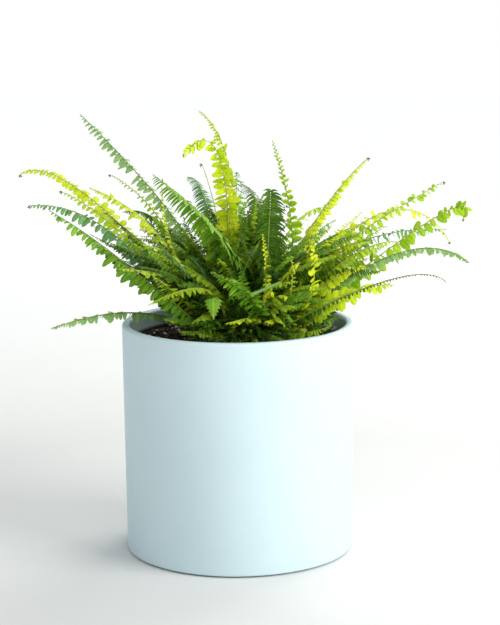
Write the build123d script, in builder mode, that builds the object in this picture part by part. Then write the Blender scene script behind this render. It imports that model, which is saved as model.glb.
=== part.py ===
"""Self watering planter: a round outer pot, a lift-out liner with wicks, and the fern it carries.

Millimetres, +Z up. The origin is on the floor at the middle of the pot, and -Y is its front.
The outer pot holds the water. The liner stands in it on three legs, with the soil and the fern.
"""

import math
import os

from build123d import *

os.makedirs("parts", exist_ok=True)

# Outer pot
rim_radius = 125.0
base_radius = 123.2
pot_height = 250.0
rim_inner_radius = 116.5
floor_inner_radius = 114.7
foot_stand = 1.5
floor_thickness = 8.0
floor_top = foot_stand + floor_thickness
drain_radius = 7.0
drain_boss_radius = 12.0
drain_boss_top = floor_top + 3.0

# Foot ring under the outer pot
foot_inner_radius = 112.0
foot_outer_radius = 118.0
foot_top = 3.5

# Gaps: between fixed pieces, between pieces that move past each other, and round a pin
fixed_gap = 0.2
slide_gap = 0.3
pin_gap = 0.05

# Liner
liner_base_radius = 109.0
liner_rim_radius = 113.4
liner_wall = 2.0
liner_floor_low = 59.5
liner_floor_top = 62.0
liner_ledge_low = 57.4
liner_ledge_top = 59.3
liner_ledge_radius = 105.5
liner_lip_low = 231.0
liner_lip_top = 233.0
liner_lip_radius = 115.6
leg_radius = 15.0
leg_wall = 2.5
leg_ring_radius = 88.0
leg_angles = (90, 210, 330)
leg_low = floor_top + slide_gap

# Drain bung: a flanged plug with a ribbed tab
bung_low = foot_stand + 0.7
bung_flange_radius = 10.5
bung_flange_low = drain_boss_top + slide_gap
bung_flange_top = bung_flange_low + 2.5
bung_tab_length = 15.0
bung_tab_thickness = 4.0
bung_tab_top = bung_flange_top + 11.0
bung_rib_proud = 0.6
bung_rib_height = 1.2
bung_rib_heights = (bung_flange_top + 4.0, bung_flange_top + 7.0)
bung_corner_radius = 1.5

# Wick baskets hang in the liner's floor
basket_ring_radius = 58.0
basket_angles = (60, 180, 300)
basket_top_radius = 20.0
basket_tip_radius = 17.0
basket_wall = 1.8
basket_low = 11.0
basket_flange_radius = 24.0
basket_flange_thickness = 2.0
basket_slots = 8
basket_slot_width = 4.0
basket_slot_low = 18.0
basket_slot_high = 52.0

# Layers inside the liner, from the floor up
mat_low = 64.3
mat_top = 67.3
granulate_low = 67.6
granulate_top = 95.0
soil_low = 95.3
soil_top = 229.0
root_ball_low = 129.0
root_ball_low_radius = 55.0
root_ball_top_radius = 65.0

# Filler tube and water gauge, which pass through the liner's floor and the soil
filler_ring_radius = 90.0
filler_angle = 12.0
filler_radius = 15.0
filler_wall = 1.8
gauge_ring_radius = 94.0
gauge_angle = 30.0
gauge_radius = 9.0
gauge_wall = 1.5
tube_low = 14.0
tube_top = 236.0
tube_flange_width = 1.5
tube_flange_thickness = 2.0
tube_notch_width = 8.0
tube_notch_height = 8.0
gauge_stop_radius = 4.0
gauge_stop_thickness = 2.0

# Service head that joins the two tubes at the top
head_thickness = 3.0
head_top = tube_top + head_thickness
head_filler_radius = 21.5
head_gauge_radius = 12.0
hinge_distance = 18.0
hinge_height = 242.0
hinge_pin_radius = 1.2
knuckle_radius = 2.5
knuckle_half_length = 5.6
ear_low = 6.0
ear_high = 9.0
cap_radius = 16.0
cap_low = head_top + slide_gap
cap_thickness = 3.0
cap_tab_length = 5.0
cap_tab_width = 12.0
cap_tab_round = 1.5
seal_radius = 12.5
seal_low = 237.0
seal_width = 2.5

# Water gauge: the float, its rod and the flag that shows in the window
float_radius = 6.9
float_low = 16.3
float_top = 44.0
rod_radius = 1.2
rod_guide_radius = 2.0
flag_low = 240.0
flag_top = 244.0
flag_radius = 5.5
window_radius = 8.0
window_wall = 1.2
window_top = 272.0
window_flange_radius = 10.0
window_outer_round = 3.0
window_inner_round = 2.0

# Lifting grips: flat arcs that lie inside the rim and hinge up about the X direction
grip_axis_offset = 82.0
grip_axis_height = 235.0
grip_inner_radius = 100.0
grip_outer_radius = 108.0
grip_thickness = 5.0
grip_half_length = 65.5
grip_hub_radius = 4.4
grip_hub_length = 8.0
grip_pin_radius = 2.5
grip_ear_low = 66.0
grip_ear_high = 72.0
grip_ear_bottom = 222.0
grip_ear_top = 240.0
grip_ear_half_width = 4.5
grip_ear_reach = 6.0

# Fern: a crown on the root ball, the dense middle of the foliage, and one blade for each frond
crown_radius = 46.0
crown_low = soil_top + 0.3
crown_top = 243.0
core_centre = 254.0
core_radius = 66.0
core_clearance = 8.0
core_low = 243.5
frond_base_height = 240.0
frond_width = 12.0
frond_tip_width = 5.0
frond_thickness = 1.5
frond_stations = 9

# Each frond is a curve from its base (x, y) on the crown through its middle to its tip (x, y, z)
frond_curves = {
    "left_tall": ((-38, 22), (-45, 20, 325), (-170, 60, 470)),
    "left_lime": ((-26, -2), (-160, 45, 380), (-236, 50, 405)),
    "left_dark": ((-45, -25), (-130, -30, 350), (-215, -60, 385)),
    "left_low": ((-38, -38), (-115, -50, 320), (-190, -100, 385)),
    "left_crozier": ((-28, -8), (-115, -5, 340), (-185, -20, 395)),
    "left_bright": ((-30, -15), (-80, 0, 340), (-155, -30, 400)),
    "left_thin": ((-18, 21), (-80, 45, 350), (-140, 90, 400)),
    "rim_left": ((-38, 8), (-115, -10, 262), (-195, -70, 257)),
    "tall_lime": ((-8, 8), (-5, 0, 400), (-40, 30, 475)),
    "tall_branch": ((-12, -14), (-15, -25, 420), (-55, -40, 435)),
    "tall_thin": ((18, 10), (60, 50, 310), (40, 50, 440)),
    "arching_left": ((-10, -38), (0, -45, 320), (-85, -90, 420)),
    "arching_back": ((-9, 26), (-30, 75, 360), (-55, 100, 395)),
    "arching_front": ((20, -30), (30, -55, 310), (35, -60, 400)),
    "top_dark": ((16, 32), (30, 35, 345), (5, 80, 390)),
    "right_lime": ((20, 0), (80, 10, 350), (140, 0, 425)),
    "right_tall": ((30, -8), (74, -14, 306), (220, -10, 400)),
    "right_droop": ((26, 9), (150, 20, 360), (235, 60, 325)),
    "right_far": ((46, -22), (200, -46, 362), (231, -98, 372)),
    "right_pale": ((44, -32), (160, -56, 328), (235, -120, 330)),
    "right_thin": ((26, -48), (148, -122, 312), (210, -145, 315)),
    "right_low": ((40, -42), (108, -70, 288), (162, -90, 303)),
    "right_back": ((21, 20), (110, 35, 320), (235, 90, 335)),
    "front_lime": ((44, -30), (72, -40, 318), (76, -55, 360)),
    "front_left": ((-15, -27), (-30, -65, 295), (-90, -120, 290)),
    "front_pale": ((4, -28), (20, -90, 280), (-25, -190, 335)),
    "back_tall": ((0, 22), (0, 85, 360), (0, 150, 395)),
    "back_left": ((-20, 34), (-75, 90, 335), (-130, 150, 350)),
    "back_right": ((14, 38), (60, 100, 335), (110, 165, 350)),
    "back_low": ((-4, 40), (-15, 120, 310), (-30, 190, 300)),
}


def polar_point(radius, angle):
    """The point at this radius and angle in degrees, seen from above."""
    return (radius * math.cos(math.radians(angle)), radius * math.sin(math.radians(angle)))


filler_centre = polar_point(filler_ring_radius, filler_angle)
gauge_centre = polar_point(gauge_ring_radius, gauge_angle)


def liner_inner_radius(height):
    """The liner's inner radius at a height above its floor."""
    share = (height - liner_floor_low) / (liner_lip_low - liner_floor_low)
    return liner_base_radius + share * (liner_rim_radius - liner_base_radius) - liner_wall


def tube_circles(height, gap):
    """The outlines of the filler tube and the gauge tube at a height, this much larger all round."""
    with BuildSketch(Plane.XY.offset(height)) as circles:
        with Locations(filler_centre):
            Circle(filler_radius + gap)
        with Locations(gauge_centre):
            Circle(gauge_radius + gap)
    return circles.sketch


# Outer pot: drafted wall, rounded rim, drain boss and the groove that holds the foot ring
with BuildPart() as outer_pot:
    with BuildSketch(Plane.XZ) as pot_section:
        with BuildLine():
            Polyline(
                (0, foot_stand),
                (base_radius, foot_stand),
                (rim_radius, pot_height),
                (rim_inner_radius, pot_height),
                (floor_inner_radius, floor_top),
                (0, floor_top),
                close=True,
            )
        make_face()
        fillet(pot_section.vertices().group_by(Axis.Y)[-1].sort_by(Axis.X)[-1], radius=3.0)
        fillet(pot_section.vertices().group_by(Axis.Y)[-1].sort_by(Axis.X)[0], radius=3.5)
        fillet(pot_section.vertices().group_by(Axis.Y)[0].sort_by(Axis.X)[-1], radius=2.5)
    revolve(axis=Axis.Z)
    with BuildSketch(Plane.XY.offset(floor_top)):
        Circle(drain_boss_radius)
    extrude(amount=drain_boss_top - floor_top)
    with BuildSketch(Plane.XY.offset(foot_stand)):
        Circle(drain_radius)
    extrude(amount=drain_boss_top - foot_stand, mode=Mode.SUBTRACT)
    with BuildSketch(Plane.XY.offset(foot_stand)):
        Circle(foot_outer_radius + fixed_gap)
        Circle(foot_inner_radius - fixed_gap, mode=Mode.SUBTRACT)
    extrude(amount=foot_top - foot_stand, mode=Mode.SUBTRACT)
outer_pot.part.label = "outer_pot"
export_step(outer_pot.part, "parts/outer_pot.step")

# Foot ring: soft ring that stands just proud of the pot's underside
with BuildPart() as foot_ring:
    with BuildSketch():
        Circle(foot_outer_radius)
        Circle(foot_inner_radius, mode=Mode.SUBTRACT)
    extrude(amount=foot_top)
    chamfer(foot_ring.edges().group_by(Axis.Z)[0], length=0.6)
foot_ring.part.label = "foot_ring"
export_step(foot_ring.part, "parts/foot_ring.step")

# Drain bung: pushed down into the drain boss, with a ribbed tab to pull it out by
with BuildPart() as drain_bung:
    with BuildSketch(Plane.XY.offset(bung_low)):
        Circle(drain_radius - pin_gap)
    extrude(amount=bung_flange_low - bung_low)
    chamfer(drain_bung.edges().group_by(Axis.Z)[0], length=1.2)
    with BuildSketch(Plane.XY.offset(bung_flange_low)):
        Circle(bung_flange_radius)
    extrude(amount=bung_flange_top - bung_flange_low)
    with BuildSketch(Plane.XY.offset(bung_flange_top)):
        RectangleRounded(bung_tab_length, bung_tab_thickness, bung_corner_radius)
    extrude(amount=bung_tab_top - bung_flange_top)
    for rib_low in bung_rib_heights:
        with BuildSketch(Plane.XY.offset(rib_low)):
            RectangleRounded(
                bung_tab_length + bung_rib_proud,
                bung_tab_thickness + 2 * bung_rib_proud,
                bung_corner_radius,
            )
        extrude(amount=bung_rib_height)
drain_bung.part.label = "drain_bung"
export_step(drain_bung.part, "parts/drain_bung.step")

# Liner wall: thin drafted sleeve with a lip, a ledge for its floor and an ear at each end of each grip
with BuildPart() as liner_wall_sleeve:
    with BuildSketch(Plane.XZ):
        with BuildLine():
            Polyline(
                (liner_ledge_radius, liner_ledge_low),
                (liner_base_radius, liner_ledge_low),
                (liner_base_radius, liner_floor_low),
                (liner_rim_radius, liner_lip_low),
                (liner_lip_radius, liner_lip_low),
                (liner_lip_radius, liner_lip_top),
                (liner_inner_radius(liner_lip_top), liner_lip_top),
                (liner_inner_radius(liner_ledge_top), liner_ledge_top),
                (liner_ledge_radius, liner_ledge_top),
                close=True,
            )
        make_face()
    revolve(axis=Axis.Z)
    for side in (-1, 1):
        for end in (-1, 1):
            with BuildSketch(Plane.XY.offset(grip_ear_bottom)):
                ear_x = end * (grip_ear_low + grip_ear_high) / 2
                ear_y = side * (grip_axis_offset + (grip_ear_reach - grip_ear_half_width) / 2)
                with Locations((ear_x, ear_y)):
                    Rectangle(grip_ear_high - grip_ear_low, grip_ear_half_width + grip_ear_reach)
            extrude(amount=grip_ear_top - grip_ear_bottom)
        with BuildSketch(Plane.YZ.offset(-grip_ear_high - 1)):
            with Locations((side * grip_axis_offset, grip_axis_height)):
                Circle(grip_pin_radius + pin_gap)
        extrude(amount=2 * grip_ear_high + 2, mode=Mode.SUBTRACT)
liner_wall_sleeve.part.label = "liner_wall"
export_step(liner_wall_sleeve.part, "parts/liner_wall.step")

# Liner floor: snaps in on the ledge, with three hollow legs and holes for the baskets and tubes
with BuildPart() as liner_floor:
    with BuildSketch(Plane.XY.offset(liner_floor_low)):
        Circle(liner_inner_radius(liner_floor_low) - fixed_gap)
    extrude(amount=liner_floor_top - liner_floor_low)
    with BuildSketch(Plane.XY.offset(leg_low)):
        with Locations(*[polar_point(leg_ring_radius, angle) for angle in leg_angles]):
            Circle(leg_radius)
    extrude(amount=liner_floor_low - leg_low)
    with BuildSketch(Plane.XY.offset(leg_low + leg_wall)):
        with Locations(*[polar_point(leg_ring_radius, angle) for angle in leg_angles]):
            Circle(leg_radius - leg_wall)
    extrude(amount=liner_floor_top - leg_low - leg_wall, mode=Mode.SUBTRACT)
    with BuildSketch(Plane.XY.offset(liner_floor_low)):
        with Locations(*[polar_point(basket_ring_radius, angle) for angle in basket_angles]):
            Circle(basket_top_radius + slide_gap)
    extrude(amount=liner_floor_top - liner_floor_low, mode=Mode.SUBTRACT)
    tube_holes = tube_circles(liner_floor_low, slide_gap)
    extrude(tube_holes, amount=liner_floor_top - liner_floor_low, mode=Mode.SUBTRACT)
liner_floor.part.label = "liner_floor"
export_step(liner_floor.part, "parts/liner_floor.step")

# Wick baskets: slotted cups that hang in the liner's floor and dip into the water
for number, angle in enumerate(basket_angles, 1):
    centre_x, centre_y = polar_point(basket_ring_radius, angle)
    flange_top = liner_floor_top + basket_flange_thickness
    cup_floor = basket_low + basket_wall
    with BuildPart() as wick_basket:
        with BuildSketch(Plane((centre_x, centre_y, 0), x_dir=(1, 0, 0), z_dir=(0, -1, 0))):
            with BuildLine():
                Polyline(
                    (0, basket_low),
                    (basket_tip_radius, basket_low),
                    (basket_top_radius, liner_floor_top),
                    (basket_flange_radius, liner_floor_top),
                    (basket_flange_radius, flange_top),
                    (basket_top_radius - basket_wall, flange_top),
                    (basket_tip_radius - basket_wall, cup_floor),
                    (0, cup_floor),
                    close=True,
                )
            make_face()
        revolve(axis=Axis((centre_x, centre_y, 0), (0, 0, 1)))
        with BuildSketch(Plane((centre_x, centre_y, basket_slot_low))):
            with PolarLocations(basket_tip_radius, basket_slots):
                Rectangle(3 * basket_wall, basket_slot_width)
        extrude(amount=basket_slot_high - basket_slot_low, mode=Mode.SUBTRACT)
    wick_basket.part.label = f"wick_basket_{number}"
    export_step(wick_basket.part, f"parts/wick_basket_{number}.step")

    # Wick core: the felt plug inside each basket, up against the mat
    core_gap = basket_wall + fixed_gap
    with BuildPart() as wick_core:
        with BuildSketch(Plane((centre_x, centre_y, cup_floor + fixed_gap))):
            Circle(basket_tip_radius - core_gap)
        with BuildSketch(Plane((centre_x, centre_y, flange_top))):
            Circle(basket_top_radius - core_gap)
        loft()
    wick_core.part.label = f"wick_core_{number}"
    export_step(wick_core.part, f"parts/wick_core_{number}.step")


def make_layer(low, high):
    """One layer that fills the liner between two heights, with holes for the tubes."""
    with BuildPart() as layer:
        with BuildSketch(Plane.XZ):
            with BuildLine():
                Polyline(
                    (0, low),
                    (liner_inner_radius(low) - fixed_gap, low),
                    (liner_inner_radius(high) - fixed_gap, high),
                    (0, high),
                    close=True,
                )
            make_face()
        revolve(axis=Axis.Z)
        extrude(tube_circles(low, fixed_gap), amount=high - low, mode=Mode.SUBTRACT)
    return layer


capillary_mat = make_layer(mat_low, mat_top)
capillary_mat.part.label = "capillary_mat"
export_step(capillary_mat.part, "parts/capillary_mat.step")

wicking_granulate = make_layer(granulate_low, granulate_top)
wicking_granulate.part.label = "wicking_granulate"
export_step(wicking_granulate.part, "parts/wicking_granulate.step")

bedding_soil = make_layer(soil_low, root_ball_low)
bedding_soil.part.label = "bedding_soil"
export_step(bedding_soil.part, "parts/bedding_soil.step")

# Potting soil: fills the liner round the root ball, and stays clear of the ears inside the rim
filled_low = root_ball_low + fixed_gap
with BuildPart() as potting_soil:
    with BuildSketch(Plane.XZ):
        with BuildLine():
            Polyline(
                (root_ball_low_radius, filled_low),
                (liner_inner_radius(filled_low) - fixed_gap, filled_low),
                (liner_inner_radius(soil_top) - fixed_gap, soil_top),
                (root_ball_top_radius, soil_top),
                close=True,
            )
        make_face()
    revolve(axis=Axis.Z)
    extrude(tube_circles(filled_low, fixed_gap), amount=soil_top - filled_low, mode=Mode.SUBTRACT)
    with BuildSketch(Plane.XY.offset(grip_ear_bottom - fixed_gap)):
        for side in (-1, 1):
            for end in (-1, 1):
                ear_x = end * (grip_ear_low + grip_ear_high) / 2
                with Locations((ear_x, side * (grip_axis_offset + 3))):
                    Rectangle(
                        grip_ear_high - grip_ear_low + 2 * fixed_gap,
                        2 * (grip_ear_half_width + 3 + fixed_gap),
                    )
    extrude(amount=soil_top - grip_ear_bottom + fixed_gap, mode=Mode.SUBTRACT)
potting_soil.part.label = "potting_soil"
export_step(potting_soil.part, "parts/potting_soil.step")

# Root ball: the plug of roots and compost that the fern came in
with BuildPart() as root_ball:
    with BuildSketch(Plane.XY.offset(root_ball_low + fixed_gap)):
        Circle(root_ball_low_radius - fixed_gap)
    with BuildSketch(Plane.XY.offset(soil_top)):
        Circle(root_ball_top_radius - fixed_gap)
    loft()
root_ball.part.label = "root_ball"
export_step(root_ball.part, "parts/root_ball.step")


def make_tube(centre, radius, wall, stop_radius):
    """A tube through the liner's floor, with a flange that sits on it.

    Its foot has an inner stop with a hole of this radius, or four notches if the radius is 0.
    """
    with BuildPart() as tube:
        with BuildSketch(Plane((*centre, tube_low))):
            Circle(radius)
            Circle(radius - wall, mode=Mode.SUBTRACT)
        extrude(amount=tube_top - tube_low)
        with BuildSketch(Plane((*centre, liner_floor_top))):
            Circle(radius + tube_flange_width)
            Circle(radius - wall / 2, mode=Mode.SUBTRACT)
        extrude(amount=tube_flange_thickness)
        if stop_radius > 0:
            with BuildSketch(Plane((*centre, tube_low))):
                Circle(radius - wall / 2)
                Circle(stop_radius, mode=Mode.SUBTRACT)
            extrude(amount=gauge_stop_thickness)
        else:
            with BuildSketch(Plane((*centre, tube_low))):
                Rectangle(3 * radius, tube_notch_width)
                Rectangle(tube_notch_width, 3 * radius)
            extrude(amount=tube_notch_height, mode=Mode.SUBTRACT)
    return tube


filler_tube = make_tube(filler_centre, filler_radius, filler_wall, 0)
filler_tube.part.label = "filler_tube"
export_step(filler_tube.part, "parts/filler_tube.step")

gauge_tube = make_tube(gauge_centre, gauge_radius, gauge_wall, gauge_stop_radius)
gauge_tube.part.label = "gauge_tube"
export_step(gauge_tube.part, "parts/gauge_tube.step")

# The cap's hinge is on the far side of the filler from the gauge, with its axis square to them
away_x = filler_centre[0] - gauge_centre[0]
away_y = filler_centre[1] - gauge_centre[1]
away = Vector(away_x, away_y, 0).normalized()
hinge_direction = away.rotate(Axis.Z, 90)
hinge_centre = Vector(filler_centre[0], filler_centre[1], hinge_height) + away * hinge_distance
hinge_plane = Plane(hinge_centre, x_dir=(0, 0, 1), z_dir=hinge_direction)


def hinge_slice(start):
    """The plane square to the hinge axis, this far along it from the middle."""
    return hinge_plane.offset(start)


# Service head: the plate on top of both tubes, with the two hinge ears of the cap
with BuildPart() as service_head:
    with BuildSketch(Plane.XY.offset(tube_top)):
        with Locations(filler_centre):
            Circle(head_filler_radius)
        with Locations(gauge_centre):
            Circle(head_gauge_radius)
        make_hull()
    extrude(amount=head_thickness)
    chamfer(service_head.edges().group_by(Axis.Z)[-1], length=0.8)
    with BuildSketch(Plane.XY.offset(tube_top)):
        with Locations(filler_centre):
            Circle(filler_radius - filler_wall)
        with Locations(gauge_centre):
            Circle(rod_guide_radius)
    extrude(amount=head_thickness, mode=Mode.SUBTRACT)
    for ear_start in (ear_low, -ear_high):
        with BuildSketch(hinge_slice(ear_start)):
            Circle(knuckle_radius)
            with Locations((-(hinge_height - head_top + 0.8) / 2, 0)):
                Rectangle(hinge_height - head_top + 0.8, 2 * knuckle_radius)
            Circle(hinge_pin_radius + pin_gap, mode=Mode.SUBTRACT)
        extrude(amount=ear_high - ear_low)
service_head.part.label = "service_head"
export_step(service_head.part, "parts/service_head.step")

with BuildPart() as cap_hinge_pin:
    with BuildSketch(hinge_slice(-ear_high)):
        Circle(hinge_pin_radius)
    extrude(amount=2 * ear_high)
cap_hinge_pin.part.label = "cap_hinge_pin"
export_step(cap_hinge_pin.part, "parts/cap_hinge_pin.step")

# Flip cap: a disc over the filler with a knuckle round the pin and a thumb tab
cap_axis_x = -away
with BuildPart() as flip_cap:
    with BuildSketch(Plane((*filler_centre, cap_low), x_dir=cap_axis_x)):
        Circle(cap_radius)
        with Locations((cap_radius, 0)):
            RectangleRounded(cap_tab_length, cap_tab_width, cap_tab_round)
        with Locations((-hinge_distance / 2 - 4, 0)):
            Rectangle(hinge_distance - 8, 2 * knuckle_half_length)
    extrude(amount=cap_thickness)
    with BuildSketch(hinge_slice(-knuckle_half_length)):
        Circle(knuckle_radius)
    extrude(amount=2 * knuckle_half_length)
    with BuildSketch(hinge_slice(-knuckle_half_length)):
        Circle(hinge_pin_radius + pin_gap)
    extrude(amount=2 * knuckle_half_length, mode=Mode.SUBTRACT)
flip_cap.part.label = "flip_cap"
export_step(flip_cap.part, "parts/flip_cap.step")

with BuildPart() as cap_seal:
    with BuildSketch(Plane((*filler_centre, seal_low))):
        Circle(seal_radius)
        Circle(seal_radius - seal_width, mode=Mode.SUBTRACT)
    extrude(amount=cap_low - seal_low)
    chamfer(cap_seal.edges().group_by(Axis.Z)[0].sort_by(SortBy.RADIUS)[-1], length=0.5)
cap_seal.part.label = "cap_seal"
export_step(cap_seal.part, "parts/cap_seal.step")

# Gauge window: a clear dome over the flag
with BuildPart() as gauge_window:
    with BuildSketch(Plane((*gauge_centre, 0), x_dir=(1, 0, 0), z_dir=(0, -1, 0))):
        with BuildLine():
            inner_radius = window_radius - window_wall
            inner_top = window_top - window_wall
            Polyline(
                (window_radius - window_outer_round, window_top),
                (0, window_top),
                (0, inner_top),
                (inner_radius - window_inner_round, inner_top),
            )
            RadiusArc(
                (inner_radius - window_inner_round, inner_top),
                (inner_radius, inner_top - window_inner_round),
                window_inner_round,
            )
            Polyline(
                (inner_radius, inner_top - window_inner_round),
                (inner_radius, head_top),
                (window_flange_radius, head_top),
                (window_flange_radius, head_top + window_wall),
                (window_radius, head_top + window_wall),
                (window_radius, window_top - window_outer_round),
            )
            RadiusArc(
                (window_radius, window_top - window_outer_round),
                (window_radius - window_outer_round, window_top),
                -window_outer_round,
            )
        make_face()
    revolve(axis=Axis((*gauge_centre, 0), (0, 0, 1)))
gauge_window.part.label = "gauge_window"
export_step(gauge_window.part, "parts/gauge_window.step")

# Float, rod and flag, which rise together with the water
with BuildPart() as gauge_float:
    with BuildSketch(Plane((*gauge_centre, float_low))):
        Circle(float_radius)
    extrude(amount=float_top - float_low)
    chamfer(gauge_float.edges().filter_by(GeomType.CIRCLE), length=1.5)
gauge_float.part.label = "gauge_float"
export_step(gauge_float.part, "parts/gauge_float.step")

with BuildPart() as float_rod:
    with BuildSketch(Plane((*gauge_centre, float_top))):
        Circle(rod_radius)
    extrude(amount=flag_low - float_top)
float_rod.part.label = "float_rod"
export_step(float_rod.part, "parts/float_rod.step")

with BuildPart() as level_flag:
    with BuildSketch(Plane((*gauge_centre, flag_low))):
        Circle(flag_radius)
    extrude(amount=flag_top - flag_low)
    fillet(level_flag.edges().group_by(Axis.Z)[-1], radius=1.5)
level_flag.part.label = "level_flag"
export_step(level_flag.part, "parts/level_flag.step")

# Lifting grips: an arc, a hub at each end of it, and a pin in each hub
for name, side in (("grip_front", -1), ("grip_back", 1)):
    band_middle = side * (grip_outer_radius + grip_axis_offset - grip_hub_radius) / 2
    band_depth = grip_outer_radius - grip_axis_offset + grip_hub_radius
    with BuildPart() as grip:
        with BuildSketch(Plane.XY.offset(grip_axis_height - grip_thickness / 2)):
            Circle(grip_outer_radius)
            Circle(grip_inner_radius, mode=Mode.SUBTRACT)
            with Locations((0, band_middle)):
                Rectangle(2 * grip_half_length, band_depth, mode=Mode.INTERSECT)
        extrude(amount=grip_thickness)
        for end in (-1, 1):
            start = grip_half_length if end == 1 else -grip_half_length
            with BuildSketch(Plane.YZ.offset(start)):
                with Locations((side * grip_axis_offset, grip_axis_height)):
                    Circle(grip_hub_radius)
            extrude(amount=-end * grip_hub_length)
            with BuildSketch(Plane.YZ.offset(start)):
                with Locations((side * grip_axis_offset, grip_axis_height)):
                    Circle(grip_pin_radius)
            extrude(amount=end * (grip_ear_high - grip_half_length))
    grip.part.label = name
    export_step(grip.part, f"parts/{name}.step")

# Fern crown: the low mound of leaf bases on the root ball
crown_rise = crown_top - crown_low
crown_sphere_radius = (crown_radius**2 + crown_rise**2) / (2 * crown_rise)
with BuildPart() as fern_crown:
    with Locations((0, 0, crown_top - crown_sphere_radius)):
        Sphere(crown_sphere_radius)
    split(bisect_by=Plane.XY.offset(crown_low), keep=Keep.TOP)
fern_crown.part.label = "fern_crown"
export_step(fern_crown.part, "parts/fern_crown.step")

# Foliage core: the dense middle of the fern, where the fronds can't be told apart
with BuildPart() as foliage_core:
    with Locations((0, 0, core_centre)):
        Sphere(core_radius)
    split(bisect_by=Plane.XY.offset(core_low), keep=Keep.TOP)
foliage_core.part.label = "foliage_core"
export_step(foliage_core.part, "parts/foliage_core.step")


def curve_point(curve, share):
    """The point and the heading of a frond's curve at this share of it, 0 at the base."""
    base = Vector(*curve[0], frond_base_height)
    tip = Vector(*curve[2])
    control = Vector(*curve[1]) * 2 - (base + tip) * 0.5
    point = base * (1 - share) ** 2 + control * (2 * share * (1 - share)) + tip * share**2
    heading = (control - base) * (1 - share) + (tip - control) * share
    return point, heading.normalized()


def leaves_core(curve):
    """The share of a frond's curve at which it has come out of the foliage core."""
    share = 0.0
    while share < 0.9:
        point = curve_point(curve, share)[0]
        if (point - Vector(0, 0, core_centre)).length > core_radius + core_clearance:
            break
        share += 0.01
    return share


def make_frond(curve):
    """A thin tapering blade along a frond's curve, from the foliage core to the tip."""
    start = leaves_core(curve)
    with BuildPart() as blade:
        for step in range(frond_stations):
            along = step / (frond_stations - 1)
            point, heading = curve_point(curve, start + (1 - start) * along)
            across = heading.cross(Vector(0, 0, 1))
            if across.length < 0.3:
                across = Vector(1, 0, 0)
            width = frond_width + (frond_tip_width - frond_width) * along
            with BuildSketch(Plane(point, x_dir=across, z_dir=heading)):
                Rectangle(width, frond_thickness)
        loft(ruled=True)
    return blade


for name, curve in frond_curves.items():
    frond = make_frond(curve)
    frond.part.label = f"frond_{name}"
    export_step(frond.part, f"parts/frond_{name}.step")
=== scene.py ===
"""Looks of the self watering planter: materials for its CAD pieces, and its fern, leaflet by leaflet.

Metres, in the CAD frame: +Z up, -Y the front, origin on the floor at the middle of the pot.
"""

import math

import bmesh
import bpy
import numpy as np
from mathutils import Matrix, Vector


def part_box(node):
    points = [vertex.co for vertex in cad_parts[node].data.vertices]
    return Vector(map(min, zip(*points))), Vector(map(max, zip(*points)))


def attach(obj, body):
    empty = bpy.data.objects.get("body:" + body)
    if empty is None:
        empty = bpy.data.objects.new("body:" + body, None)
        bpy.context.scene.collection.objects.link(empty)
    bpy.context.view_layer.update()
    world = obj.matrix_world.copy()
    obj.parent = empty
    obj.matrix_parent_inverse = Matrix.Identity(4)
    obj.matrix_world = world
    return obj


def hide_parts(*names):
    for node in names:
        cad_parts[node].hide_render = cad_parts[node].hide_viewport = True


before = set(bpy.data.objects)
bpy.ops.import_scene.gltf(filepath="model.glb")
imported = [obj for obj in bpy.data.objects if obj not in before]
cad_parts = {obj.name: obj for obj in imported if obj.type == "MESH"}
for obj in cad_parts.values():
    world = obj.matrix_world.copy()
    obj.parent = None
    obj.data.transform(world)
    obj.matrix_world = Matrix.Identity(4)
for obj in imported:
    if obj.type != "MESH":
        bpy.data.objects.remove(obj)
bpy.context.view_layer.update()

MM = 0.001
UP = np.array([0.0, 0.0, 1.0])
random = np.random.default_rng(58)

# Places read from the CAD pieces, in millimetres
SOIL_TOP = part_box("potting_soil")[1].z / MM
SOIL_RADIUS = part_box("potting_soil")[1].x / MM
RIM_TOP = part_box("outer_pot")[1].z / MM
CROWN_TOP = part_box("fern_crown")[1].z / MM
CROWN_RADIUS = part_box("fern_crown")[1].x / MM
RIM_INNER_RADIUS = 114.5
RIM_OUTER_RADIUS = 127.0

# The fronds leave the crown at this height, and above the second one their leaflets are in full light:
# those between get painted shade, darker the lower they are
FROND_BASE_HEIGHT = 240.0
PAINTED_SHADE_TOP = 340.0


def node_middle(node):
    """The middle of a CAD node seen from above, in millimetres."""
    low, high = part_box(node)
    return np.array([(low.x + high.x) / 2, (low.y + high.y) / 2]) / MM


# Materials ------------


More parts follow.
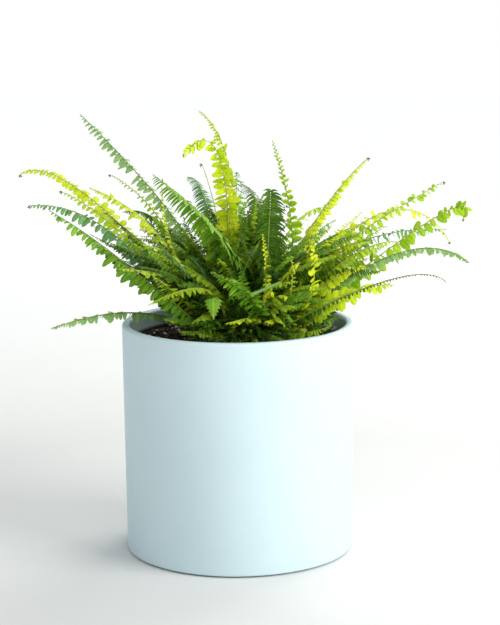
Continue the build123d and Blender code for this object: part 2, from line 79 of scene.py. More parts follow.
class Shader:
    """A node material being made: short names for the nodes that the materials below share."""

    def __init__(self, name, roughness=0.5, **sockets):
        self.material = bpy.data.materials.new(name)
        self.material.use_nodes = True
        self.tree = self.material.node_tree
        self.surface = self.tree.nodes["Principled BSDF"]
        self.surface.inputs["Roughness"].default_value = roughness
        for socket, value in sockets.items():
            self.surface.inputs[self.socket_name(socket)].default_value = value
        self.place = self.node("TexCoord").outputs["Object"]

    @staticmethod
    def socket_name(name):
        """The socket that a keyword such as specular_ior_level stands for."""
        return name.replace("_", " ").title().replace("Ior", "IOR")

    def node(self, kind, **inputs):
        """A new node with these inputs, which are sockets to link or values to set."""
        made = self.tree.nodes.new("ShaderNode" + kind)
        for name, value in inputs.items():
            self.put(made.inputs[self.socket_name(name)], value)
        return made

    def put(self, socket, value):
        """Link a socket to another node's output, or set its value."""
        if isinstance(value, bpy.types.NodeSocket):
            self.tree.links.new(value, socket)
        else:
            socket.default_value = value

    def noise(self, scale, detail=3.0, roughness=0.5, stretch=None):
        """Noise over the object, with this many cells to the metre."""
        place = self.place
        if stretch:
            mapping = self.node("Mapping", vector=place)
            mapping.inputs["Scale"].default_value = stretch
            place = mapping.outputs["Vector"]
        made = self.node("TexNoise", vector=place, scale=scale, detail=detail,
                         roughness=roughness)
        return made.outputs["Fac"]

    def cells(self, scale):
        """Distance to the middle of the nearest of many small cells."""
        return self.node("TexVoronoi", vector=self.place, scale=scale).outputs["Distance"]

    def math(self, operation, first, second=0.0):
        """One step of arithmetic on two values."""
        made = self.tree.nodes.new("ShaderNodeMath")
        made.operation = operation
        self.put(made.inputs[0], first)
        self.put(made.inputs[1], second)
        return made.outputs[0]

    def ranged(self, value, low, high, new_low=0.0, new_high=1.0):
        """The value taken from one range to another, and held inside the new one."""
        made = self.node("MapRange", value=value, from_min=low, from_max=high,
                         to_min=new_low, to_max=new_high)
        return made.outputs["Result"]

    def blend(self, share, first, second):
        """A colour between two, which are colours or sockets."""
        made = self.tree.nodes.new("ShaderNodeMix")
        made.data_type = "RGBA"
        self.put(made.inputs[0], share)
        for socket, value in ((made.inputs[6], first), (made.inputs[7], second)):
            self.put(socket, value if isinstance(value, bpy.types.NodeSocket) else (*value, 1.0))
        return made.outputs[2]

    def colour(self, socket):
        self.put(self.surface.inputs["Base Color"], socket)

    def roughness(self, value, low, high):
        self.put(self.surface.inputs["Roughness"], self.ranged(value, 0.3, 0.7, low, high))

    def bump(self, height, distance, strength=1.0):
        made = self.node("Bump", height=height, distance=distance, strength=strength)
        self.put(self.surface.inputs["Normal"], made.outputs["Normal"])


def moulded_plastic(name, dark, light, grain=2600.0, depth=0.00008, low=0.38, high=0.55):
    """Satin moulded plastic: faint clouds of tone, a fine grain, and roughness that varies."""
    shader = Shader(name, specular_ior_level=0.45)
    clouds = shader.noise(14.0, 4.0)
    shader.colour(shader.blend(shader.ranged(clouds, 0.3, 0.7), dark, light))
    shader.roughness(shader.noise(60.0, 3.0), low, high)
    shader.bump(shader.noise(grain, 2.0), depth, 0.5)
    return shader.material


def pot_finish():
    """Powder-blue satin finish: soft clouds of tone, a fine sprayed grain and a few paler scuffs."""
    shader = Shader("pot_powder_blue", specular_ior_level=0.4)
    clouds = shader.ranged(shader.noise(9.0, 5.0, 0.6), 0.3, 0.7)
    base = shader.blend(clouds, (0.60, 0.755, 0.80), (0.64, 0.79, 0.83))
    speckle = shader.ranged(shader.noise(900.0, 2.0), 0.62, 0.75, 0.0, 0.12)
    speckled = shader.blend(speckle, base, (0.74, 0.87, 0.90))
    streaks = shader.noise(30.0, 4.0, 0.7, stretch=(1.0, 1.0, 0.12))
    scuffed = shader.blend(shader.ranged(streaks, 0.66, 0.80, 0.0, 0.25), speckled, (0.70, 0.84, 0.87))
    shader.colour(scuffed)
    shader.roughness(shader.noise(40.0, 4.0), 0.40, 0.52)
    orange_peel = shader.math("MULTIPLY", shader.noise(420.0, 2.0), 1.6)
    shader.bump(shader.math("ADD", orange_peel, shader.noise(2600.0, 2.0)), 0.00006, 0.6)
    return shader.material


def rubber(name, colour):
    """Dark soft rubber with a dusty bloom."""
    shader = Shader(name, specular_ior_level=0.3)
    bloom = shader.ranged(shader.noise(35.0, 5.0, 0.65), 0.45, 0.75, 0.0, 0.6)
    dusty = tuple(channel + 0.045 for channel in colour)
    shader.colour(shader.blend(bloom, colour, dusty))
    shader.roughness(shader.noise(80.0, 3.0), 0.70, 0.88)
    shader.bump(shader.noise(1500.0, 3.0), 0.00012, 0.6)
    return shader.material


def felt(name, dark, light):
    """Felt: short crossed fibres in two tones."""
    shader = Shader(name, 0.95, sheen_weight=0.4)
    fibres = shader.noise(700.0, 5.0, 0.75, stretch=(1.0, 1.0, 0.25))
    crossed = shader.noise(700.0, 5.0, 0.75, stretch=(0.25, 1.0, 1.0))
    both = shader.math("ADD", shader.math("MULTIPLY", fibres, 0.5), shader.math("MULTIPLY", crossed, 0.5))
    shader.colour(shader.blend(shader.ranged(both, 0.35, 0.65), dark, light))
    shader.bump(both, 0.0008, 0.8)
    return shader.material


def soil_finish(name, dark, brown, crumb=260.0):
    """Damp potting soil: near black, with brown fibres and crumbs."""
    shader = Shader(name, 0.92, specular_ior_level=0.2)
    crumbs = shader.cells(crumb)
    fibres = shader.noise(180.0, 6.0, 0.75)
    tone = shader.math("MULTIPLY", crumbs, fibres)
    shader.colour(shader.blend(shader.ranged(tone, 0.10, 0.42), dark, brown))
    shader.bump(shader.math("ADD", crumbs, fibres), 0.0016, 0.9)
    return shader.material


def granulate_finish():
    """Expanded clay: rounded red-brown pebbles, with painted shade in the gaps between them."""
    shader = Shader("clay_granulate", 0.85)
    cells = shader.node("TexVoronoi", vector=shader.place, scale=170.0)
    body = shader.blend(cells.outputs["Color"], (0.28, 0.14, 0.08), (0.46, 0.27, 0.17))
    # Painted shade: each cell darkens to near black towards its edges, standing for the gaps between
    # pebbles
    painted_gap_shade = shader.ranged(cells.outputs["Distance"], 0.35, 0.62, 0.0, 0.9)
    shader.colour(shader.blend(painted_gap_shade, body, (0.04, 0.025, 0.02)))
    shader.bump(shader.math("MULTIPLY", cells.outputs["Distance"], -1.0), 0.003, 0.9)
    return shader.material


def brushed_steel():
    """Drawn stainless steel: fine lines and a little tarnish."""
    shader = Shader("pin_steel", metallic=1.0)
    lines = shader.noise(900.0, 3.0, 0.6, stretch=(1.0, 1.0, 0.05))
    shader.colour(shader.blend(shader.ranged(lines, 0.35, 0.65), (0.50, 0.50, 0.49), (0.66, 0.66, 0.65)))
    shader.roughness(shader.noise(160.0, 3.0), 0.25, 0.42)
    shader.bump(lines, 0.00004, 0.5)
    return shader.material


def clear_plastic():
    """Clear moulded plastic with a few hairline scuffs that scatter light."""
    shader = Shader("clear_window", 0.06, transmission_weight=0.92, ior=1.49)
    clouds = shader.ranged(shader.noise(120.0, 3.0), 0.3, 0.7)
    shader.colour(shader.blend(clouds, (0.93, 0.97, 0.97), (0.97, 0.99, 0.98)))
    shader.bump(shader.noise(500.0, 2.0), 0.00003, 0.3)
    return shader.material


def float_foam():
    """White bead foam: rounded cells with thin grey borders."""
    shader = Shader("float_foam", 0.8, specular_ior_level=0.3)
    cells = shader.cells(420.0)
    shader.colour(shader.blend(shader.ranged(cells, 0.3, 0.7), (0.86, 0.86, 0.82), (0.60, 0.60, 0.57)))
    shader.bump(shader.math("MULTIPLY", cells, -1.0), 0.0006, 0.6)
    return shader.material


def leaf_finish(name, deep, light, rib, glow=0.25, rough=(0.36, 0.52)):
    """A leaflet: its own tone between two greens, a paler midrib, mottling, and raised side veins.

    The mesh's leaf attribute holds the place along the leaflet, across it, and the leaflet's tone, in which
    lower leaflets are darker as painted shade.
    """
    shader = Shader(name, specular_ior_level=0.22)
    shader.surface.inputs["Subsurface Weight"].default_value = glow
    shader.surface.inputs["Subsurface Scale"].default_value = 0.0022
    shader.surface.inputs["Subsurface Radius"].default_value = (0.55, 1.0, 0.12)
    leaf = shader.tree.nodes.new("ShaderNodeAttribute")
    leaf.attribute_name = "leaf"
    parts = shader.node("SeparateColor", color=leaf.outputs["Color"])
    along, across, tone = parts.outputs[0], parts.outputs[1], parts.outputs[2]
    mottle = shader.noise(260.0, 4.0, 0.6)
    share = shader.math("ADD", shader.math("MULTIPLY", tone, 0.75), shader.math("MULTIPLY", mottle, 0.5))
    body = shader.blend(shader.ranged(share, 0.2, 1.05), deep, light)
    off_middle = shader.math("ABSOLUTE", shader.math("SUBTRACT", across, 0.5))
    rib_share = shader.ranged(off_middle, 0.0, 0.07, 0.55, 0.0)
    ribbed = shader.blend(rib_share, body, rib)
    base_share = shader.ranged(along, 0.0, 0.25, 0.35, 0.0)
    darker = tuple(channel * 0.4 for channel in deep)
    shader.colour(shader.blend(base_share, ribbed, darker))
    shader.roughness(shader.noise(340.0, 3.0), *rough)
    slant = shader.math("ADD", along, shader.math("MULTIPLY", off_middle, -0.55))
    veins = shader.math("SINE", shader.math("MULTIPLY", slant, 58.0))
    height = shader.math("ADD", shader.math("MULTIPLY", veins, 0.35), shader.math("MULTIPLY", mottle, 0.7))
    shader.bump(height, 0.00022, 0.55)
    return shader.material


def stem_finish(name, green, brown, glow=0.1):
    """A frond's stalk: green that turns brown in streaks, with fine lengthwise scales."""
    shader = Shader(name, 0.5, specular_ior_level=0.35)
    shader.surface.inputs["Subsurface Weight"].default_value = glow
    shader.surface.inputs["Subsurface Scale"].default_value = 0.001
    streaks = shader.ranged(shader.noise(120.0, 4.0, 0.6), 0.4, 0.75, 0.0, 0.7)
    shader.colour(shader.blend(streaks, green, brown))
    shader.bump(shader.noise(900.0, 3.0), 0.0002, 0.6)
    return shader.material


LEAF_LOOKS = {
    "lime": leaf_finish("leaf_lime", (0.45, 0.64, 0.008), (0.84, 0.97, 0.030), (0.86, 0.96, 0.10), 0.42),
    "fresh": leaf_finish("leaf_fresh", (0.22, 0.42, 0.008), (0.56, 0.78, 0.035), (0.62, 0.80, 0.10), 0.34),
    "green": leaf_finish("leaf_green", (0.080, 0.25, 0.006), (0.29, 0.54, 0.030), (0.42, 0.64, 0.09), 0.26),
    "dark": leaf_finish("leaf_dark", (0.012, 0.050, 0.002), (0.105, 0.23, 0.008), (0.20, 0.36, 0.03), 0.14),
    "blue": leaf_finish("leaf_blue", (0.050, 0.18, 0.050), (0.19, 0.41, 0.15), (0.31, 0.53, 0.22), 0.20),
    "pale": leaf_finish("leaf_pale", (0.22, 0.44, 0.13), (0.53, 0.74, 0.30), (0.62, 0.80, 0.40), 0.30),
}
STEM_GREEN = stem_finish("stem_green", (0.20, 0.34, 0.05), (0.22, 0.14, 0.05))
STEM_LIME = stem_finish("stem_lime", (0.48, 0.58, 0.06), (0.34, 0.24, 0.06), 0.25)
STEM_BROWN = stem_finish("stem_brown", (0.13, 0.085, 0.04), (0.07, 0.04, 0.02))
SHARED_MATERIALS = [*LEAF_LOOKS.values(), STEM_LIME, STEM_GREEN, STEM_BROWN]


# Mesh building ------------


class MeshParts:
    """Vertices, faces and the leaf attribute of one piece, gathered before the mesh is made."""

    def __init__(self):
        self.points, self.leaf, self.faces, self.slots = [], [], [], []
        self.count = 0

    def add(self, points, faces, slot, leaf=None):
        """Add points in millimetres and faces as rows of indexes into them."""
        points = np.asarray(points, float)
        self.points.append(points)
        self.leaf.append(np.zeros((len(points), 3)) if leaf is None else leaf)
        for rows in faces:
            rows = np.asarray(rows, int)
            if len(rows):
                self.faces.append(rows + self.count)
                self.slots.append(np.full(len(rows), slot))
        self.count += len(points)

    def make(self, name, materials, smooth_angle=55.0):
        """The finished object, linked to the scene."""
        points = np.concatenate(self.points) * MM
        leaf = np.concatenate(self.leaf)
        sizes = np.concatenate([np.full(len(rows), rows.shape[1]) for rows in self.faces])
        mesh = bpy.data.meshes.new(name)
        mesh.vertices.add(len(points))
        mesh.vertices.foreach_set("co", points.astype(np.float32).ravel())
        loops = np.concatenate([rows.ravel() for rows in self.faces])
        mesh.loops.add(len(loops))
        mesh.loops.foreach_set("vertex_index", loops.astype(np.int32))
        mesh.polygons.add(len(sizes))
        starts = np.concatenate([[0], np.cumsum(sizes)[:-1]])
        mesh.polygons.foreach_set("loop_start", starts.astype(np.int32))
        mesh.polygons.foreach_set("material_index", np.concatenate(self.slots).astype(np.int32))
        mesh.update(calc_edges=True)
        mesh.polygons.foreach_set("use_smooth", np.ones(len(sizes), bool))
        mesh.set_sharp_from_angle(angle=math.radians(smooth_angle))
        attribute = mesh.attributes.new("leaf", "FLOAT_COLOR", "POINT")
        colours = np.concatenate([leaf, np.ones((len(leaf), 1))], axis=1)
        attribute.data.foreach_set("color", colours.astype(np.float32).ravel())
        for material in materials:
            mesh.materials.append(material)
        return link_object(name, mesh)


def link_object(name, data):
    """A new object with this data, linked to the scene."""
    made = bpy.data.objects.new(name, data)
    bpy.context.scene.collection.objects.link(made)
    return made


def unit(vectors):
    """Vectors scaled to length one, along the last axis."""
    return vectors / np.maximum(np.linalg.norm(vectors, axis=-1, keepdims=True), 1e-9)


def leaf_template(outline, columns):
    """A closed leaflet of unit length and width: points (along, side, lift), quads and triangles.

    The outline's rows are the share along the leaflet and the half widths of its two edges.
    """
    across = np.linspace(-1, 1, columns)
    points = []
    top = np.zeros((len(outline), columns), int)
    under = np.zeros((len(outline), columns), int)
    for row, (along, far, near) in enumerate(outline):
        for column, share in enumerate(across):
            side = share * (far if share > 0 else near)
            top[row, column] = len(points)
            points.append((along, side, 1 - share**2))
            if 0 < column < columns - 1:
                under[row, column] = len(points)
                points.append((along, side, share**2 - 1))
            else:
                under[row, column] = top[row, column]
    quads = []
    triangles = []
    for row in range(len(outline) - 1):
        for column in range(columns - 1):
            here, there = (row, column), (row + 1, column + 1)
            quads.append((top[here], top[row + 1, column], top[there], top[row, column + 1]))
            quads.append((under[here], under[row, column + 1], under[there], under[row + 1, column]))
    for row, turn in ((0, 1), (len(outline) - 1, -1)):
        for column in range(columns - 1):
            face = [top[row, column], top[row, column + 1], under[row, column + 1], under[row, column]]
            face = list(dict.fromkeys(face))[::turn]
            (quads if len(face) == 4 else triangles).append(face)
    return np.array(points), np.array(quads), np.array(triangles)


# Outlines from base to tip: a long fern leaflet with an ear at its base, and a young round one
LONG_OUTLINE = (
    (0.00, 0.10, 0.08), (0.05, 0.52, 0.26), (0.13, 0.62, 0.42), (0.24, 0.47, 0.46),
    (0.36, 0.48, 0.44), (0.48, 0.43, 0.45), (0.60, 0.43, 0.40), (0.72, 0.36, 0.37),
    (0.83, 0.30, 0.28), (0.93, 0.17, 0.18), (1.00, 0.03, 0.03),
)
ROUND_OUTLINE = (
    (0.00, 0.08, 0.08), (0.07, 0.42, 0.30), (0.20, 0.52, 0.44), (0.36, 0.50, 0.50),
    (0.52, 0.50, 0.47), (0.68, 0.43, 0.44), (0.82, 0.35, 0.33), (0.94, 0.18, 0.20),
    (1.00, 0.04, 0.04),
)
SMALL_OUTLINE = (
    (0.00, 0.09, 0.08), (0.12, 0.55, 0.38), (0.35, 0.48, 0.46), (0.62, 0.42, 0.42),
    (0.85, 0.27, 0.27), (1.00, 0.04, 0.04),
)
LOBED_OUTLINE = (
    (0.00, 0.05, 0.05), (0.05, 0.40, 0.38), (0.17, 0.56, 0.54), (0.20, 0.38, 0.37),
    (0.33, 0.50, 0.51), (0.36, 0.31, 0.32), (0.49, 0.41, 0.40), (0.52, 0.23, 0.24),
    (0.65, 0.31, 0.30), (0.68, 0.15, 0.16), (0.80, 0.20, 0.19), (0.83, 0.09, 0.09),
    (1.00, 0.02, 0.02),
)
LONG_LEAF = leaf_template(LONG_OUTLINE, 5)
ROUND_LEAF = leaf_template(ROUND_OUTLINE, 5)
SMALL_LEAF = leaf_template(SMALL_OUTLINE, 3)
ROUND_LEAF_SMALL = leaf_template(ROUND_OUTLINE[::2], 3)
LOBED_LEAF = leaf_template(LOBED_OUTLINE, 7)
LEAF_THICKNESS = 0.16


def add_leaflets(parts, template, base, out, upper, length, width, slot, droop=0.12, sag=0.15, cup=0.10):
    """Add one leaflet at each base point, along its out direction, with its upper side facing upper.

    Droop bends the tip to the leaflet's underside, sag bends it to the floor, cup lowers the edges.
    """
    shape, quads, triangles = template
    count = len(base)
    if count == 0:
        return
    out = unit(out)
    upper = unit(upper - (upper * out).sum(1, keepdims=True) * out)
    side = np.cross(upper, out)
    length, width = np.broadcast_to(length, count), np.broadcast_to(width, count)
    along, across, lift = shape.T
    phase = random.uniform(0, 6.28, count)
    bend = droop * random.uniform(-0.3, 2.4, count)
    ripple = 0.03 * np.sin(along[None] * 14 + phase[:, None]) * np.abs(across[None]) * 2
    height = -bend[:, None] * along[None] ** 2 * length[:, None]
    height = height + (ripple - cup * (2 * across[None]) ** 2) * width[:, None]
    height = height + lift[None] * LEAF_THICKNESS
    points = (
        base[:, None]
        + out[:, None] * (along[None] * length[:, None])[..., None]
        + side[:, None] * (across[None] * width[:, None])[..., None]
        + upper[:, None] * height[..., None]
        - UP * (sag * along[None] ** 2 * length[:, None])[..., None]
    )
    tone = 0.5 * random.uniform() + 0.5 * random.uniform(0, 1, count)
    # Painted shade: the lower a leaflet sits in the fern, the lower its tone, so the darker its green
    tone = tone * np.interp(base[:, 2], (FROND_BASE_HEIGHT, PAINTED_SHADE_TOP), (0.0, 1.0))
    leaf = np.stack(
        [
            np.broadcast_to(along, (count, len(along))),
            np.broadcast_to(across + 0.5, (count, len(along))),
            np.broadcast_to(tone[:, None], (count, len(along))),
        ],
        axis=-1,
    )
    steps = (np.arange(count) * len(shape))[:, None, None]
    faces = [(rows[None] + steps).reshape(-1, rows.shape[1]) for rows in (quads, triangles) if len(rows)]
    parts.add(points.reshape(-1, 3), faces, slot, leaf.reshape(-1, 3))


def add_tube(parts, path, radius, slot, sides=7):
    """Add a closed tube along a path of points, with a radius at each point."""
    path = np.asarray(path, float)
    heading = unit(np.gradient(path, axis=0))
    across = np.cross(heading[0], UP)
    if np.linalg.norm(across) < 0.2:
        across = np.cross(heading[0], [1.0, 0.0, 0.0])
    rings = []
    for point, direction, reach in zip(path, heading, radius):
        across = unit(across - (across @ direction) * direction)
        other = np.cross(direction, across)
        angles = np.arange(sides) * 2 * math.pi / sides
        rings.append(point + reach * (np.cos(angles)[:, None] * across + np.sin(angles)[:, None] * other))
    rows = len(path)
    points = np.concatenate([*rings, path[:1], path[-1:]])
    quads, triangles = [], []
    for row in range(rows - 1):
        for turn in range(sides):
            after = (turn + 1) % sides
            low, high = row * sides, (row + 1) * sides
            quads.append((low + turn, low + after, high + after, high + turn))
    start, end = rows * sides, rows * sides + 1
    for turn in range(sides):
        after = (turn + 1) % sides
        triangles.append((start, after, turn))
        triangles.append((end, (rows - 1) * sides + turn, (rows - 1) * sides + after))
    parts.add(points, [quads, triangles], slot)


# Fern ------------


FILLER_MIDDLE = node_middle("filler_tube")
GAUGE_MIDDLE = node_middle("gauge_tube")
GAUGE_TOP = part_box("gauge_window")[1].z / MM

# What the leaves keep clear of, in millimetres: the grips' sweep, and the head with its opening cap
SWEEP_HALF_WIDTH, SWEEP_NEAR, SWEEP_FAR, SWEEP_TOP = 74, 76, 114, 264
SERVICE_X, SERVICE_Y, SERVICE_TOP = (64, 118), (-22, 64), 282


def is_clear(points):
    """True for each point that is clear of the pot's rim, the soil, the grips' sweep and the head."""
    x, y, z = points[..., 0], points[..., 1], points[..., 2]
    radius = np.hypot(x, y)
    in_rim = (radius > RIM_INNER_RADIUS - 1) & (radius < RIM_OUTER_RADIUS + 1) & (z < RIM_TOP + 1)
    outside = (radius >= RIM_OUTER_RADIUS + 1) & (z < RIM_TOP - 30)
    in_soil = (z < SOIL_TOP + 2.5) & (radius < RIM_OUTER_RADIUS)
    in_sweep = (np.abs(x) < SWEEP_HALF_WIDTH) & (z < SWEEP_TOP)
    in_sweep &= (np.abs(y) > SWEEP_NEAR) & (np.abs(y) < SWEEP_FAR)
    in_service = (x > SERVICE_X[0]) & (x < SERVICE_X[1]) & (z < SERVICE_TOP)
    in_service &= (y > SERVICE_Y[0]) & (y < SERVICE_Y[1])
    in_gauge = (np.hypot(x - GAUGE_MIDDLE[0], y - GAUGE_MIDDLE[1]) < 14) & (z < GAUGE_TOP + 8)
    return ~(in_rim | outside | in_soil | in_sweep | in_service | in_gauge)


def frond_curve(base, middle, tip, share):
    """Points of a frond's curve, which passes through base, middle and tip."""
    start = np.array([*base, FROND_BASE_HEIGHT], float)
    middle, tip = np.array(middle, float), np.array(tip, float)
    control = 2 * middle - (start + tip) / 2
    share = np.asarray(share)[:, None]
    return (1 - share) ** 2 * start + 2 * share * (1 - share) * control + share**2 * tip


def frond_frame(path, roll):
    """Heading, left side and upper side of a frond at each point, rolled about its heading."""
    heading = unit(np.gradient(path, axis=0))
    outward = (path[-1] - path[0]) * [1, 1, 0]
    outward = unit(outward) if np.linalg.norm(outward) > 5 else np.array([0.0, -1.0, 0.0])
    facing = UP - 0.6 * outward
    upper = unit(facing - (heading @ facing)[:, None] * heading)
    side = np.cross(upper, heading)
    turn = math.radians(roll)
    turned = upper * math.cos(turn) - side * math.sin(turn)
    return heading, side * math.cos(turn) + upper * math.sin(turn), turned


# How large the leaflets are along a frond, as a share of the largest
SIZE_SHARES = (0.0, 0.12, 0.3, 0.5, 0.7, 0.85, 0.95, 1.0)
SIZES = (0.45, 0.70, 0.95, 1.0, 0.85, 0.58, 0.32, 0.14)


def add_crozier(parts, path, radius, slot):
    """A small curl at the tip of a frond that is still unrolling, with fuzzy buds on it."""
    heading = unit(path[-1] - path[-3])
    down = unit(np.cross(np.cross(heading, -UP), heading))
    turns = np.linspace(0, 1, 18)
    angle = turns * 2 * math.pi * 1.2
    reach = 1.3 * (1 - 0.6 * turns)
    centre = path[-1] + down * 1.3
    curl = centre + heading * (np.sin(angle) * reach)[:, None] - down * (np.cos(angle) * reach)[:, None]
    add_tube(parts, curl, np.linspace(radius, radius * 1.3, len(curl)), slot, 6)
    buds = curl[4::5]
    out = unit(buds - centre) + random.normal(0, 0.3, (len(buds), 3))
    upper = np.cross(out, heading) + 0.01
    add_leaflets(parts, SMALL_LEAF, buds, out, upper, 1.5, 1.2, slot, 0.3)


# The share of leaflets that a frond has lost
SHARE_MISSING = 0.03


def at_places(places, travel, rows):
    """Rows of vectors, given at each distance travelled, read at these places between them."""
    return np.stack([np.interp(places, travel, rows[:, axis]) for axis in range(3)], axis=1)


def build_frond(parts, path, length, width, gap=1.0, fold=25.0, roll=0.0, bare=0.08, lean=14.0,
                twist=12.0, thick=1.0, curl=False, template=LONG_LEAF, sizes=SIZES, slots=(0, 1, 2),
                droop=0.12, sag=0.15, wild=1.2):
    """Add one frond: a tapering stalk with leaflets left and right in turn, smaller towards its tip.

    Gap is the space between leaflets in leaflet widths, fold how far they hang below the frond's
    plane, lean how far they point to the tip, twist how far each turns like a louvre, and wild how
    much all of this varies.
    """
    leaf_slot, stem_slot, brown_slot = slots
    heading, side, upper = frond_frame(path, roll)
    steps = np.linalg.norm(np.diff(path, axis=0), axis=1)
    travel = np.concatenate([[0], np.cumsum(steps)])
    share = travel / travel[-1]
    stem = thick * np.interp(share, (0, 0.15, 0.7, 1.0), (1.25, 1.0, 0.6, 0.3))
    add_tube(parts, path, stem, stem_slot)
    places = []
    at = bare * travel[-1]
    while at < travel[-1] * 0.995:
        size = np.interp(at / travel[-1], SIZE_SHARES, sizes)
        places.append(at)
        at += max(width * gap * (0.35 + 0.65 * size), 1.6) / 2
    places = np.array(places)
    if len(places) == 0:
        return
    hand = np.where(np.arange(len(places)) % 2 == 0, 1.0, -1.0)
    spot = at_places(places, travel, path)
    ahead, left, above = (unit(at_places(places, travel, rows)) for rows in (heading, side, upper))
    place_share = places / travel[-1]
    size = np.interp(place_share, SIZE_SHARES, sizes)
    size = size * random.uniform(1 - 0.2 * wild, 1 + 0.12 * wild, len(places))
    leaning = np.radians(lean + 30 * place_share**3 + random.normal(0, 8 * wild, len(places)))[:, None]
    folding = np.radians(fold + random.normal(0, 11 * wild, len(places)))[:, None]
    flat = hand[:, None] * left * np.cos(leaning) + ahead * np.sin(leaning)
    out = flat * np.cos(folding) - above * np.sin(folding)
    facing = above * np.cos(folding) + flat * np.sin(folding)
    turning = np.radians(random.normal(twist, 12 * wild, len(places)))[:, None]
    facing = facing * np.cos(turning) + ahead * np.sin(turning)
    base = spot + hand[:, None] * left * np.interp(place_share, share, stem)[:, None] * 0.6
    reach = np.maximum(length * size, 1.6)[:, None]
    end = base + out * reach
    half = np.maximum(width * size, 1.3)[:, None] * 0.5
    centre = base + out * reach * 0.5
    clear = random.uniform(0, 1, len(places)) > SHARE_MISSING
    for corner in (base, end, end - UP * reach * (sag + droop), centre, centre + ahead * half,
                   centre - ahead * half):
        clear &= is_clear(corner)
    add_leaflets(parts, template, base[clear], out[clear], facing[clear], reach[clear, 0],
                 half[clear, 0] * 2, leaf_slot, droop, sag)
    if curl:
        add_crozier(parts, path, stem[-1] * 1.3, brown_slot)


